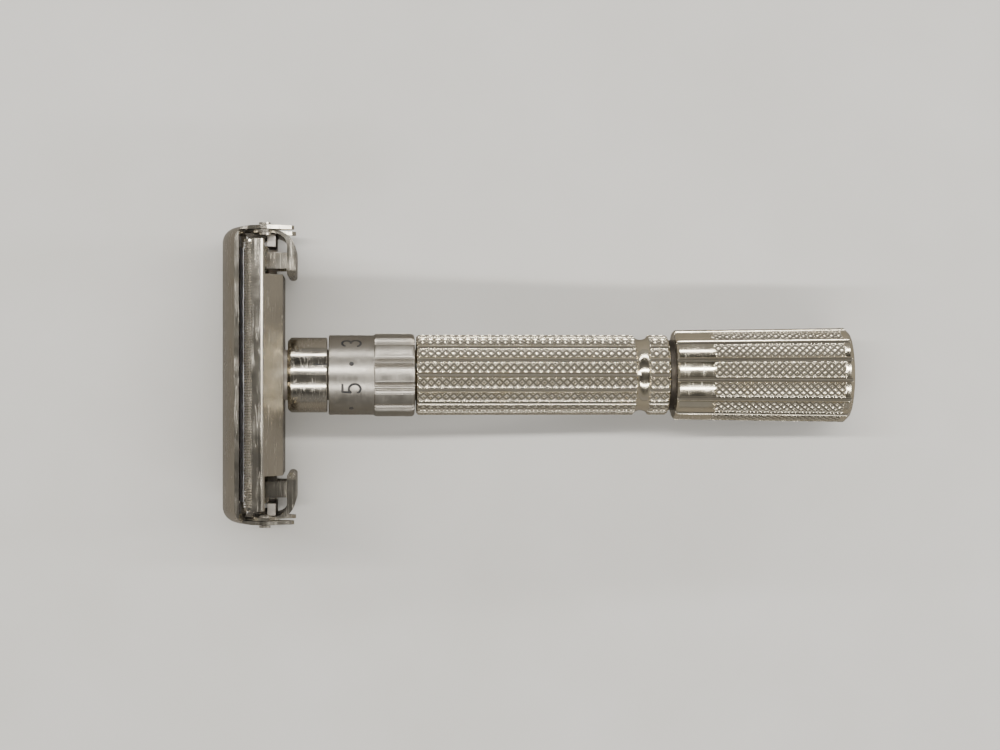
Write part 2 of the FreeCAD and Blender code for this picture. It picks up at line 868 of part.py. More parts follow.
def make_platform():
    """The fixed, arched seat that the blade lies on, with the rib and studs that centre the blade."""
    body = new_body("blade_platform")
    under_blade = D.blade_radius - D.blade_thickness / 2 - D.seat_clearance
    crest = D.blade_middle - D.blade_thickness / 2 - D.seat_clearance
    edge_height = arc_height(under_blade, crest, D.platform_half_width)
    seat = new_sketch(body, "XZ")
    draw(
        seat,
        [
            (-D.platform_half_width, D.platform_bottom),
            (D.platform_half_width, D.platform_bottom),
            (D.platform_half_width, edge_height, under_blade),
            (-D.platform_half_width, edge_height),
        ],
    )
    pad(body, seat, D.platform_half_length * 2, symmetric=True)
    doc.recompute()
    half_length = of("platform_half_length")
    corners = edges_where(
        body.Shape,
        lambda e: abs(e.CenterOfMass.x) > 8.2 and abs(abs(e.CenterOfMass.y) - half_length) < 0.01,
    )
    dress(body, "Fillet", corners, 1.2)

    rib = new_sketch(body, "XY", D.platform_bottom)
    rib_half, rib_end = 0.55, 16.0
    draw(rib, [(-rib_half, -rib_end), (rib_half, -rib_end), (rib_half, rib_end), (-rib_half, rib_end)])
    pad(body, rib, D.blade_middle - D.platform_bottom + 0.6)
    for along in STUDS:
        stud = new_sketch(body, "XY", D.platform_bottom)
        draw_circle(stud, 0, along, 1.5)
        pad(body, stud, D.blade_middle - D.platform_bottom + 0.75)
    return body


def make_end_cap(label, side):
    """A foot bent up into a plate at one end of the head. It carries the hinges and guides the carrier."""
    body = new_body(label)
    width = D.shoe_half_width
    outer = D.ear_inner - 0.1
    thickness = outer - D.plate_inner
    tip = (D.shoe_top - D.shoe_bottom) / 2
    bend_top = D.shoe_bottom + D.cap_bend
    inner_bend = bend_top - D.shoe_top
    strap = new_sketch(body, "YZ")
    corners = [
        (D.shoe_inner + tip, D.shoe_bottom),
        (outer - D.cap_bend, D.shoe_bottom, D.cap_bend),
        (outer, bend_top),
        (outer, bend_top + 0.3),
        (D.plate_inner, bend_top + 0.3),
        (D.plate_inner, bend_top, -inner_bend),
        (D.plate_inner - inner_bend, D.shoe_top),
        (D.shoe_inner + tip, D.shoe_top, tip * 1.1),
    ]
    draw(strap, corners if side > 0 else mirrored(corners))
    pad(body, strap, width * 2, symmetric=True)

    plate = new_sketch(body, "XZ", D.plate_inner * -side)
    shoulder = D.hinge_height + PIN_BOSS
    draw(
        plate,
        [
            (-width, bend_top - 0.2),
            (width, bend_top - 0.2),
            (D.hinge_across + PIN_BOSS, D.hinge_height - 0.6),
            (D.hinge_across + PIN_BOSS, shoulder - 0.5),
            (D.hinge_across + PIN_BOSS - 0.5, shoulder),
            (D.driver_across + 0.9, D.platform_bottom),
            (-D.driver_across - 0.9, D.platform_bottom),
            (-D.hinge_across - PIN_BOSS + 0.5, shoulder),
            (-D.hinge_across - PIN_BOSS, shoulder - 0.5),
            (-D.hinge_across - PIN_BOSS, D.hinge_height - 0.6),
        ],
    )
    pad(body, plate, thickness, reverse=side > 0)

    corner_cut = 1.3
    for across in (1, -1):
        corner = new_sketch(body, "XY", D.shoe_bottom - 0.5)
        triangle = [
            ((width + 0.1) * across, (D.shoe_inner - 0.1) * side),
            ((width + 0.1) * across, (D.shoe_inner + corner_cut) * side),
            ((width - corner_cut) * across, (D.shoe_inner - 0.1) * side),
        ]
        draw(corner, triangle)
        pocket(body, corner, 3, reverse=True)

    for across in (D.driver_across, -D.driver_across):
        guide = new_sketch(body, "XZ", D.plate_inner * -side)
        half = D.driver_pin_radius + D.pin_clearance
        low, high = D.driver_height, D.driver_height + D.lift
        draw(
            guide,
            [
                (across + half, low),
                (across + half, high, half),
                (across - half, high),
                (across - half, low, half),
            ],
        )
        pocket(body, guide, 3, symmetric=True)

    for across in (D.hinge_across, -D.hinge_across):
        hole = new_sketch(body, "XZ", D.plate_inner * -side)
        draw_circle(hole, across, D.hinge_height, D.hinge_pin_radius)
        pocket(body, hole, 3, symmetric=True)

    sunk = 0.2
    post_width, post_near, post_far = 2.0, 15.8 * side, 18.2 * side
    posts = new_sketch(body, "XY", D.shoe_top - sunk)
    for across in (3.6, -3.6 - post_width):
        draw(
            posts,
            [
                (across, post_near),
                (across + post_width, post_near),
                (across + post_width, post_far),
                (across, post_far),
            ],
        )
    pad(body, posts, D.platform_bottom - D.shoe_top + sunk)
    return body


def make_hinge_pins():
    """Four rivets, fixed in the end caps, that the doors swing on."""
    pins = []
    height = of("hinge_height")
    start, end = of("plate_inner"), of("ear_outer") + 0.12
    for side in (1, -1):
        for across in (of("hinge_across"), -of("hinge_across")):
            pin = cross_pin(of("hinge_pin_radius"), across, height, side * (start - 0.35), side * end)
            head = cross_pin(0.85, across, height, side * end, side * (end + 0.25))
            inner_head = cross_pin(0.8, across, height, side * (start - 0.35), side * start)
            pins.append(pin.fuse(head).fuse(inner_head).removeSplitter())
    return shape_feature("hinge_pins", Part.makeCompound(pins))


def make_door_carrier():
    """The cross bar on top of the drive rod, with an arm at each end for the driver pins."""
    body = new_body("door_carrier")
    bottom = D.driver_height - D.bar_thickness / 2
    outline = new_sketch(body, "XY", bottom)
    end, inner = D.plate_inner - 0.1, D.plate_inner - 1.9
    arm = D.driver_across + 0.9
    half = D.bar_half_width
    draw(
        outline,
        [
            (-arm, -end),
            (arm, -end),
            (arm, -inner),
            (half, -inner),
            (half, inner),
            (arm, inner),
            (arm, end),
            (-arm, end),
            (-arm, inner),
            (-half, inner),
            (-half, -inner),
            (-arm, -inner),
        ],
    )
    draw_circle(outline, 0, 0, RIVET_RADIUS)
    pad(body, outline, D.bar_thickness)
    for across in (D.driver_across, -D.driver_across):
        holes = new_sketch(body, "XZ")
        draw_circle(holes, across, D.driver_height, D.driver_pin_radius)
        pocket(body, holes, THROUGH, symmetric=True)
    return body


def make_driver_pins():
    pins = []
    for side in (1, -1):
        for across in (of("driver_across"), -of("driver_across")):
            start, end = side * (of("plate_inner") - 1.9), side * (of("ear_outer") - 0.02)
            pins.append(cross_pin(of("driver_pin_radius"), across, of("driver_height"), start, end))
    return shape_feature("driver_pins", Part.makeCompound(pins))


def driver_point(side, share):
    """Where the rising driver pin stands in a door's own frame, from shut, share 0, to open, share 1.

    The pin rises in proportion to the door's turn, so the slot is the pin's path turned back with it."""
    angle = math.radians(of("door_turn")) * share
    across = of("driver_across") - of("hinge_across")
    up = of("driver_height") + of("lift") * share - of("hinge_height")
    x = across * math.cos(angle) - up * math.sin(angle)
    z = across * math.sin(angle) + up * math.cos(angle)
    return Vector(side * (of("hinge_across") + x), of("hinge_height") + z, 0)


def cut_cam_slots(body, side):
    """Cuts the curved slot that a driver pin works in through both ears of a door. An arc through the ends and
    the middle of the pin's path strays from it by about 0.02 mm, well inside the slot's clearance."""
    start, middle, end = (driver_point(side, share) for share in (0, 0.5, 1))
    centre = Part.Circle(start, middle, end).Center
    half = of("driver_pin_radius") + of("slot_clearance")

    def beside(point, distance):
        return point + (point - centre).normalize() * distance

    slot = new_sketch(body, "XZ")
    for distance in (half, -half):
        points = [beside(point, distance) for point in (start, middle, end)]
        slot.addGeometry(Part.ArcOfCircle(*points), False)
    for point in (start, end):
        radial = (point - centre).normalize()
        away = Vector(-radial.y, radial.x, 0)
        if away.dot(point - middle) < 0:
            away = away * -1
        round_end = Part.ArcOfCircle(beside(point, half), point + away * half, beside(point, -half))
        slot.addGeometry(round_end, False)
    pocket(body, slot, THROUGH, symmetric=True)


def hollow_out(body, side, half_length, drop):
    """Cuts the room for the blade out of a door, with its ceiling lowered by drop."""
    radius = D.door_radius - D.door_wall
    crest = D.door_top - D.door_wall - drop
    lip = 9.0
    below = D.hinge_height - 14.0
    room = new_sketch(body, "XZ")
    draw(
        room,
        [
            (-1.0 * side, arc_height(radius, crest, 1.0), radius * -side),
            (lip * side, arc_height(radius, crest, lip)),
            (D.door_reach * side, arc_height(D.blade_radius, D.blade_middle, D.door_reach) + D.door_lip_rise),
            (14.0 * side, D.hinge_height + 2.6),
            (14.0 * side, below),
            (-1.0 * side, below),
        ],
    )
    pocket(body, room, half_length * 2, symmetric=True)


def make_door(label, side):
    """One silo door: an arched roof over half of the blade, folded down at both ends into an ear.

    side is 1 for the door over +x and -1 for the other."""
    body = new_body(label)
    crest, radius = D.door_top, D.door_radius
    seam, reach = D.door_seam * side, D.door_reach * side
    ear_bottom = D.hinge_height - 4.25
    hinge_side = (D.hinge_across + PIN_BOSS) * side
    ear = new_sketch(body, "XZ")
    draw(
        ear,
        [
            (seam, arc_height(radius, crest, D.door_seam), radius * -side),
            (reach, arc_height(radius, crest, D.door_reach)),
            (reach, D.hinge_height + 2.6),
            (hinge_side - 0.45 * side, D.hinge_height + PIN_BOSS, -1.15 * side),
            (hinge_side - 0.15 * side, D.hinge_height - 0.55),
            (9.3 * side, ear_bottom + 0.35),
            (8.8 * side, ear_bottom),
            (7.75 * side, ear_bottom),
            (7.05 * side, ear_bottom + 0.6),
            (5.7 * side, D.driver_height - 0.2),
            (5.55 * side, D.driver_height + 1.1),
            (4.8 * side, D.driver_height + 1.9),
            (seam, D.driver_height + 2.1),
        ],
    )
    pad(body, ear, D.ear_outer * 2, symmetric=True)
    doc.recompute()
    end = of("ear_outer")
    fold = edges_where(
        body.Shape,
        lambda e: isinstance(e.Curve, Part.Circle)
        and abs(e.Curve.Radius - of("door_radius")) < 0.01
        and abs(abs(e.CenterOfMass.y) - end) < 0.01,
    )
    dress(body, "Fillet", fold, D.door_fold)

    hollow_out(body, side, D.ear_inner - FOLD_STEP, 0.0)
    hollow_out(body, side, D.ear_inner, FOLD_DROP)

    pivot = new_sketch(body, "XZ")
    draw_circle(pivot, D.hinge_across * side, D.hinge_height, D.hinge_pin_radius + D.pin_clearance)
    pocket(body, pivot, THROUGH, symmetric=True)

    cut_cam_slots(body, side)
    return body


def make_blade():
    """The double-edged blade, bent over its platform: cut corners, bevelled edges and a centre slot."""
    half_width, half_length = of("blade_half_width"), of("blade_half_length")
    middle, radius, thickness = of("blade_middle"), of("blade_radius"), of("blade_thickness")
    tab, shoulder, corner = 6.4, 18.6, 0.8
    below, above = 70.0, 100.0
    plan = Part.makePolygon(
        [
            Vector(-half_width, -shoulder, 0),
            Vector(-tab - corner, -shoulder, 0),
            Vector(-tab, -shoulder - corner, 0),
            Vector(-tab, -half_length + corner, 0),
            Vector(-tab + corner, -half_length, 0),
            Vector(tab - corner, -half_length, 0),
            Vector(tab, -half_length + corner, 0),
            Vector(tab, -shoulder - corner, 0),
            Vector(tab + corner, -shoulder, 0),
            Vector(half_width, -shoulder, 0),
            Vector(half_width, shoulder, 0),
            Vector(tab + corner, shoulder, 0),
            Vector(tab, shoulder + corner, 0),
            Vector(tab, half_length - corner, 0),
            Vector(tab - corner, half_length, 0),
            Vector(-tab + corner, half_length, 0),
            Vector(-tab, half_length - corner, 0),
            Vector(-tab, shoulder + corner, 0),
            Vector(-tab - corner, shoulder, 0),
            Vector(-half_width, shoulder, 0),
            Vector(-half_width, -shoulder, 0),
        ]
    )
    prism = Part.Face(plan).extrude(Vector(0, 0, above - below))
    prism.translate(Vector(0, 0, below))
    centre = Vector(0, -THROUGH / 2, middle - radius)
    along = Vector(0, 1, 0)
    shell = Part.makeCylinder(radius + thickness / 2, THROUGH, centre, along)
    shell = shell.cut(Part.makeCylinder(radius - thickness / 2, THROUGH, centre, along))
    blade = shell.common(prism)
    slot_half_width, slot_half_length, hole_radius = 0.72, 16.6, 2.1
    low = (-slot_half_width, -slot_half_length, below)
    high = (slot_half_width, slot_half_length, above)
    blade = blade.cut(block(low, high))
    for y in STUDS:
        blade = blade.cut(cylinder(hole_radius, below, above, 0, y))
    return shape_feature("blade", blade)


# ---------------------------------------------------------------------------------------------------------
# Assembly


def lying_rotation():
    """Turns the razor to lie with its handle along x, on the edge of one safety bar and the knob's rim."""
    bar_height = of("bar_top") - of("bar_bevel")
    rim_height = of("knob_foot") + of("knob_chamfer")
    rise = of("bar_reach") - of("knob_radius")
    tilt = math.degrees(math.atan2(rise, bar_height - rim_height))
    return FreeCAD.Rotation(Vector(0, 1, 0), -(90 - tilt))


def lying_placement(pieces):
    """The lying razor, centred over the origin and standing on z = 0."""
    rotation = lying_rotation()
    box = FreeCAD.BoundBox()
    for piece in pieces:
        piece.Placement = FreeCAD.Placement(Vector(0, 0, 0), rotation)
        box.add(piece.Shape.optimalBoundingBox(True, False))
    base = Vector(-(box.XMin + box.XMax) / 2, -(box.YMin + box.YMax) / 2, -box.ZMin)
    return FreeCAD.Placement(base, rotation)


pieces = [
    make_handle_tube(),
    make_knob(),
    make_knob_cap(),
    make_thrust_washer(),
    make_bottom_bushing(),
    make_inner_barrel(),
    make_drive_spindle(),
    make_retaining_ring(),
    make_drive_rod(),
    make_guard_legs(),
    make_dial(),
    make_neck(),
    make_guard_spring(),
    *make_detent(),
    make_guard(),
    make_platform(),
    make_end_cap("end_cap_rear", 1),
    make_end_cap("end_cap_front", -1),
    make_hinge_pins(),
    make_door_carrier(),
    make_driver_pins(),
    make_door("door_upper", 1),
    make_door("door_lower", -1),
    make_blade(),
]

doc.recompute()
for thing in doc.Objects:
    if "Invalid" in thing.State or "Error" in thing.State:
        raise RuntimeError(f"{thing.Label} failed: {thing.State}")

lying = lying_placement(pieces)
os.makedirs("parts", exist_ok=True)
for old in os.listdir("parts"):
    os.remove(os.path.join("parts", old))
for piece in pieces:
    piece.Placement = lying
doc.recompute()
for piece in pieces:
    shape = piece.Shape
    if shape.isNull() or not shape.isValid():
        raise RuntimeError(f"{piece.Label} has no valid shape")
    if shape.Volume <= 0:
        raise RuntimeError(f"{piece.Label} has no volume")
    shape.exportStep(f"parts/{piece.Label}.step")
    print(f"{piece.Label}: {len(shape.Solids)} solid(s), {shape.Volume:.1f} mm3")
print(f"laid down by {lying.Rotation.Angle * 180 / math.pi:.6f} degrees, moved by {tuple(lying.Base)}")
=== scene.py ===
"""Looks of an adjustable twist-to-open safety razor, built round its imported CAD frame."""
import json
import math

import bpy
from mathutils import Matrix, Vector


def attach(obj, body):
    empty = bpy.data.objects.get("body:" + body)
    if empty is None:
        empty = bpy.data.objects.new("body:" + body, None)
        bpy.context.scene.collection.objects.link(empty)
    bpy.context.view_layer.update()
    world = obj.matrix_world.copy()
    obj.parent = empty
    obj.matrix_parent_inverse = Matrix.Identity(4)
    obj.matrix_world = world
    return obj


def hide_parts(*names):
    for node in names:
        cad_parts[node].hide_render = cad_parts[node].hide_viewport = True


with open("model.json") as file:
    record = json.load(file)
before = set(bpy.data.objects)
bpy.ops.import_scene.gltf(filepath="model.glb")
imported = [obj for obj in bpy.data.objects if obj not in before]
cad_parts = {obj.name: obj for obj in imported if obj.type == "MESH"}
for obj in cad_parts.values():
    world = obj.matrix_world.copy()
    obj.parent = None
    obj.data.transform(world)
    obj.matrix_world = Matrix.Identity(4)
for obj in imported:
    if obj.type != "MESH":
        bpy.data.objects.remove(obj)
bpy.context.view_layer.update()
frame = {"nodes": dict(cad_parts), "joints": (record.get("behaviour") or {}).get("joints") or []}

MM = 0.001

# ---------------------------------------------------------------------------------------------------------
# The handle's own frame: millimetres, z from the knob's foot to the head, x across the blade, y along it


def handle_frame():
    """Matrix from the handle's own frame to the row frame."""
    joint = next(j for j in frame["joints"] if j["name"] == "dial_turn")
    along = Vector(joint["axis"]).normalized()
    side = Vector((0, 1, 0))
    across = side.cross(along)
    on_axis = Vector(joint["pos_m"])
    foot = min((v.co - on_axis).dot(along) for v in frame["nodes"]["knob_end_cap"].data.vertices)
    matrix = Matrix((across * MM, side * MM, along * MM)).transposed().to_4x4()
    matrix.translation = on_axis + along * foot
    return matrix


HANDLE = handle_frame()
ALONG = HANDLE.to_3x3().col[2].normalized()


def measure(node):
    """Lowest and highest point and greatest radius of a CAD node, in the handle's frame."""
    inverse = HANDLE.inverted()
    points = [inverse @ v.co for v in frame["nodes"][node].data.vertices]
    heights = [p.z for p in points]
    return min(heights), max(heights), max(math.hypot(p.x, p.y) for p in points)


TUBE_BOTTOM, TUBE_TOP, TUBE_RADIUS = measure("handle_tube")
KNOB_BOTTOM, KNOB_TOP, KNOB_RADIUS = measure("knob")
DIAL_BOTTOM, DIAL_TOP, DIAL_RADIUS = measure("dial")
NECK_BOTTOM, _, NECK_RADIUS = measure("neck_collar")
GUARD_BOTTOM, BAR_TOP, _ = measure("guard")


def polar(radius, degrees, height):
    """A point in the handle's frame."""
    angle = math.radians(degrees)
    return Vector((radius * math.cos(angle), radius * math.sin(angle), height))


# ---------------------------------------------------------------------------------------------------------
# Mesh helpers


def add_piece(name, points, faces, body, material, sharp=30.0):
    """A mesh given in the handle's frame, shown with one material and riding on a body."""
    mesh = bpy.data.meshes.new(name)
    mesh.from_pydata(points, [], faces)
    mesh.transform(HANDLE)
    mesh.validate()
    mesh.shade_smooth()
    mesh.set_sharp_from_angle(angle=math.radians(sharp))
    mesh.materials.append(material)
    piece = bpy.data.objects.new(name, mesh)
    bpy.context.scene.collection.objects.link(piece)
    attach(piece, body)
    return piece


def tube_faces(rows, columns, diagonal=None):
    """Faces of a closed ring-shaped skin: rows of columns points, the last row joined to the first.

    diagonal(row, column) gives 1 or -1 where a face is split along a diagonal, or 0 where it stays whole."""
    faces = []
    for i in range(rows):
        for j in range(columns):
            a = i * columns + j
            b = i * columns + (j + 1) % columns
            c = (i + 1) % rows * columns + (j + 1) % columns
            d = (i + 1) % rows * columns + j
            way = diagonal(i, j) if diagonal else 0
            if way > 0:
                faces += [(a, b, c), (a, c, d)]
            elif way < 0:
                faces += [(a, b, d), (b, c, d)]
            else:
                faces.append((a, b, c, d))
    return faces


def steps(start, stop, size):
    """Evenly spaced values from start to stop, about size apart."""
    count = max(1, round((stop - start) / size))
    return [start + (stop - start) * i / count for i in range(count + 1)]


def smooth(low, high, value):
    """0 below low, 1 above high and an easy curve between."""
    share = min(1.0, max(0.0, (value - low) / (high - low)))
    return share * share * (3 - 2 * share)


def follow(corners, height):
    """Radius of a profile of (radius, height) corners at a height."""
    for (r0, z0), (r1, z1) in zip(corners, corners[1:]):
        if z0 <= height <= z1:
            return r0 + (r1 - r0) * (height - z0) / max(z1 - z0, 1e-9)
    return corners[-1][0] if height > corners[-1][1] else corners[0][0]


# ---------------------------------------------------------------------------------------------------------
# Knurled and fluted grips


class Grip:
    """The pattern of a turned grip: lengthwise flutes and a diamond knurl between them."""

    CELLS = 10  # points along one diamond, both ways
    CREST = 0.94  # share of a wave at which a diamond reaches its full height

    def __init__(self, flutes, flute_depth, flute_half, diamonds, pitch, depth, phase=0.0):
        """Depths and pitch in millimetres, flute_half and phase in degrees."""
        self.sector = 360.0 / flutes
        self.flutes = flutes
        self.flute_depth = flute_depth
        self.flute_half = flute_half
        self.diamonds = diamonds
        self.pitch = pitch
        self.depth = depth
        self.phase = phase

    def angles(self):
        """Columns: a few shape each flute, and the rest lie on the knurl's own grid."""
        step = 360.0 / self.diamonds / self.CELLS
        edge = math.ceil(self.flute_half * 1.35 / step) * step
        inside = [-1.15, -0.95, -0.72, -0.35, 0.0, 0.35, 0.72, 0.95, 1.15]
        columns = []
        for i in range(self.flutes):
            centre = self.phase + i * self.sector
            columns += [centre + share * self.flute_half for share in inside]
            columns += [centre + a for a in steps(edge, self.sector - edge, step)]
        return columns

    def heights(self, bottom, top, extra=()):
        step = self.pitch / self.CELLS
        first, last = math.ceil(bottom / step + 0.2), math.floor(top / step - 0.2)
        grid = [i * step for i in range(first, last + 1)]
        grid = [z for z in grid if all(abs(z - e) > step * 0.4 for e in extra)]
        return sorted(set(grid) | {bottom, top} | set(extra))

    def waves(self, angle, height):
        """The two crossing waves of the knurl: 0 in the bottom of a groove, 1 half way to the next."""
        turn = (angle - self.phase) * self.diamonds / 360.0
        rise = height / self.pitch
        return [1 - abs(2 * (wave % 1.0) - 1) for wave in (turn + rise, turn - rise)]

    def sunk(self, angle, height, knurled):
        """How far the fluted and knurled surface lies below the turned one."""
        off = (angle - self.phase + self.sector / 2) % self.sector - self.sector / 2
        flute = 1 - smooth(self.flute_half * 0.45, self.flute_half, abs(off))
        crest = min(1.0, min(self.waves(angle, height)) / self.CREST)
        share = knurled * smooth(self.flute_half, self.flute_half * 1.3, abs(off))
        return self.flute_depth * flute + self.depth * (1 - crest) * share

    def diagonal(self, angle, height):
        """Which diagonal of a small face lies along the nearest groove of the knurl."""
        rising, falling = self.waves(angle, height)
        return -1 if rising < falling else 1


def grip_piece(name, grip, profile, blank, inner, knurl_share, body, material):
    """The skin of a grip, closed by inner: never outside its turned profile, and cut into the blank.

    blank is the (radius, height) outline before the edges were turned down."""
    angles = grip.angles()
    corners = [z for _, z in profile]
    heights = grip.heights(corners[0], corners[-1], corners[1:-1])
    points, soil_and_shade = [], []
    for z in heights:
        limit, full = follow(profile, z), follow(blank, z)
        for angle in angles:
            sunk = grip.sunk(angle, z, knurl_share(angle, z))
            points.append(polar(min(limit, full - sunk), angle, z))
            # Share of soiling and painted shade: the deeper the knurl or flute sinks a point, the darker it
            # is drawn.
            soil_and_shade.append(min(1.0, sunk / grip.depth) if full - sunk < limit else 0.0)
    # The bore's rows are drawn fully dark: soiling and painted shade.
    for radius, z in inner:
        points += [polar(radius, angle, z) for angle in angles]
        soil_and_shade += [1.0] * len(angles)
    rows, columns = len(heights) + len(inner), len(angles)

    def diagonal(i, j):
        if i >= len(heights) - 1:
            return 0
        middle = (heights[i] + heights[i + 1]) / 2
        following = angles[(j + 1) % columns] + (360.0 if j == columns - 1 else 0.0)
        return grip.diagonal((angles[j] + following) / 2, middle)

    piece = add_piece(name, points, tube_faces(rows, columns, diagonal), body, material, 24.0)
    # The depth share goes to the material as its soiling and painted shade.
    layer = piece.data.attributes.new("soil_and_shade", "FLOAT", "POINT")
    layer.data.foreach_set("value", soil_and_shade)
    return piece


def waist_profile(low, high, radius, depth, count=9):
    """A hollow between two shoulders, as (radius, height) corners."""
    corners = []
    for i in range(1, count):
        share = i / count
        corners.append((radius - depth * math.sin(math.pi * share) ** 0.8, low + (high - low) * share))
    return corners


def build_handle_tube(material):
    """The fixed grip: fluted and knurled all over but for the waist below its top ring."""
    grip = Grip(flutes=16, flute_depth=0.36, flute_half=3.9, diamonds=32, pitch=1.13, depth=0.3)
    bevel, ring_height, waist_length = 0.3, 3.15, 1.8
    ring_top = TUBE_BOTTOM + ring_height
    grip_bottom = ring_top + waist_length
    rim = TUBE_RADIUS - bevel
    waist = rim - 0.1
    profile = [(rim, TUBE_BOTTOM), (TUBE_RADIUS, TUBE_BOTTOM + bevel), (TUBE_RADIUS, ring_top - bevel)]
    profile += [(waist, ring_top)] + waist_profile(ring_top, grip_bottom, waist, 0.28)
    profile += [(waist, grip_bottom), (TUBE_RADIUS, grip_bottom + bevel)]
    profile += [(TUBE_RADIUS, TUBE_TOP - bevel), (rim, TUBE_TOP)]
    blank = [(TUBE_RADIUS, TUBE_BOTTOM), (TUBE_RADIUS, TUBE_TOP)]
    bore, narrow, shoulder = 4.8, 3.85, TUBE_TOP - 5.7
    inner = [(narrow, TUBE_TOP), (narrow, shoulder), (bore, shoulder), (bore, TUBE_BOTTOM)]
    piece = grip_piece("grip_tube", grip, profile, blank, inner, lambda a, z: 1.0, "handle", material)
    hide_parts("handle_tube")


def build_knob(material):
    """The twist knob: flutes over its whole length, a knurl on its lower part and a slight flare."""
    grip = Grip(flutes=14, flute_depth=0.42, flute_half=3.3, diamonds=42, pitch=1.06, depth=0.28, phase=-6.0)
    top_radius, bevel, foot_bevel = KNOB_RADIUS - 0.4, 0.3, 0.7
    recess, socket, ledge = 5.6, 3.35, 2.0
    profile = [(KNOB_RADIUS - foot_bevel, KNOB_BOTTOM), (KNOB_RADIUS, KNOB_BOTTOM + foot_bevel)]
    profile += [(top_radius, KNOB_TOP - bevel), (top_radius - bevel, KNOB_TOP)]
    blank = [(KNOB_RADIUS, KNOB_BOTTOM), (top_radius, KNOB_TOP)]
    inner = [(socket, KNOB_TOP), (socket, ledge), (recess, ledge), (recess, KNOB_BOTTOM)]

    def knurled(angle, z):
        """The knurl stops short of both ends, in points that follow one of its slanting grooves."""
        slant = 0.5 * ((angle - grip.phase) * grip.diamonds / 360.0 % 1.0)
        low, high = 1.5, KNOB_TOP - 5.6 - slant
        return smooth(low, low + 0.3, z) * (1 - smooth(high, high + 0.3, z))

    piece = grip_piece("knob_grip", grip, profile, blank, inner, knurled, "knob", material)
    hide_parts("knob")


# ---------------------------------------------------------------------------------------------------------
# Dial


DIAL_GRIP = 6.1  # height of the dial's grip
DIAL_RING = 6.0  # radius of its number ring
CLICK = 36.0  # degrees from one setting to the next
INDEX_ANGLE = 16.0  # degrees round the handle from the x axis to the setting mark
INDEX_SETTING = 4  # the setting that stands at the mark


def grip_rib(angle):
    """Share of the full depth at an angle from a group of three narrow grooves; the rest is broad pads."""
    off = (angle + CLICK / 2) % CLICK - CLICK / 2
    spacing, flat_half, groove_half = 5.4, 0.9, 2.1
    depth = 0.0
    for centre in (-spacing, 0.0, spacing):
        depth = max(depth, 1 - smooth(flat_half, groove_half, abs(off - centre)))
    return depth


def build_dial(material):
    """The dial's skin: a smooth number ring over a grip of ten pads and ten groups of three grooves."""
    radius_grip, groove = DIAL_RADIUS, 0.28
    grip_top = DIAL_BOTTOM + DIAL_GRIP
    ribs_at = CLICK / 2
    angles = []
    for i in range(round(360 / CLICK)):
        base = i * CLICK
        angles += [base + a for a in steps(-9.0, 9.0, 0.6)]
        angles += [base + a for a in steps(11.0, 25.0, 2.0)]
    outer = [  # radius, height and share of the grooves' depth
        (radius_grip - 0.45, DIAL_BOTTOM, 0.0),
        (radius_grip - 0.16, DIAL_BOTTOM + 0.1, 0.5),
        (radius_grip, DIAL_BOTTOM + 0.42, 1.0),
        (radius_grip, DIAL_BOTTOM + 0.7, 1.0),
        (radius_grip, grip_top - 0.5, 1.0),
        (radius_grip - 0.02, grip_top - 0.25, 1.0),
        (radius_grip - 0.1, grip_top - 0.08, 0.6),
        (DIAL_RING + 0.02, grip_top, 0.0),
        (DIAL_RING, grip_top + 0.04, 0.0),
        (DIAL_RING, DIAL_TOP - 0.16, 0.0),
        (DIAL_RING - 0.05, DIAL_TOP - 0.05, 0.0),
        (DIAL_RING - 0.16, DIAL_TOP, 0.0),
    ]
    bore, narrow, floor = 5.0, 3.88, DIAL_BOTTOM + 1.2
    inner = [(bore, DIAL_TOP), (bore, floor), (narrow, floor), (narrow, DIAL_BOTTOM)]
    points = []
    for radius, z, share in outer:
        points += [polar(radius - groove * share * grip_rib(a - ribs_at), a, z) for a in angles]
    for radius, z in inner:
        points += [polar(radius, a, z) for a in angles]
    faces = tube_faces(len(outer) + len(inner), len(angles))
    piece = add_piece("setting_dial", points, faces, "dial", material, 30.0)
    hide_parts("dial")


def arc(centre, radius, start, stop, count=14):
    """Points of an arc in a flat drawing, angles in degrees; radius is (across, up)."""
    points = []
    for i in range(count + 1):
        angle = math.radians(start + (stop - start) * i / count)
        points.append((centre[0] + radius[0] * math.cos(angle), centre[1] + radius[1] * math.sin(angle)))
    return points


def line(start, stop, count=6):
    """Points of a straight stroke in a flat drawing."""
    return [(start[0] + (stop[0] - start[0]) * i / count, start[1] + (stop[1] - start[1]) * i / count)
            for i in range(count + 1)]


def figure_strokes():
    """Strokes of the odd figures, in a box 1.6 wide and 2.9 high about its middle."""
    return {
        1: [line((-0.34, 0.9), (0.1, 1.34)), line((0.1, 1.38), (0.1, -1.38))],
        3: [arc((0, 0.7), (0.66, 0.68), 155, -80), arc((0, -0.66), (0.74, 0.73), 85, -155)],
        5: [line((0.6, 1.34), (-0.5, 1.34)), line((-0.5, 1.34), (-0.6, 0.14)),
            arc((-0.02, -0.48), (0.74, 0.88), 138, -145, 18)],
        7: [line((-0.66, 1.34), (0.66, 1.34)), line((0.66, 1.34), (-0.22, -1.38))],
        9: [arc((0, 0.6), (0.66, 0.76), 0, 360, 22), line((0.66, 0.6), (0.17, -1.38))],
    }


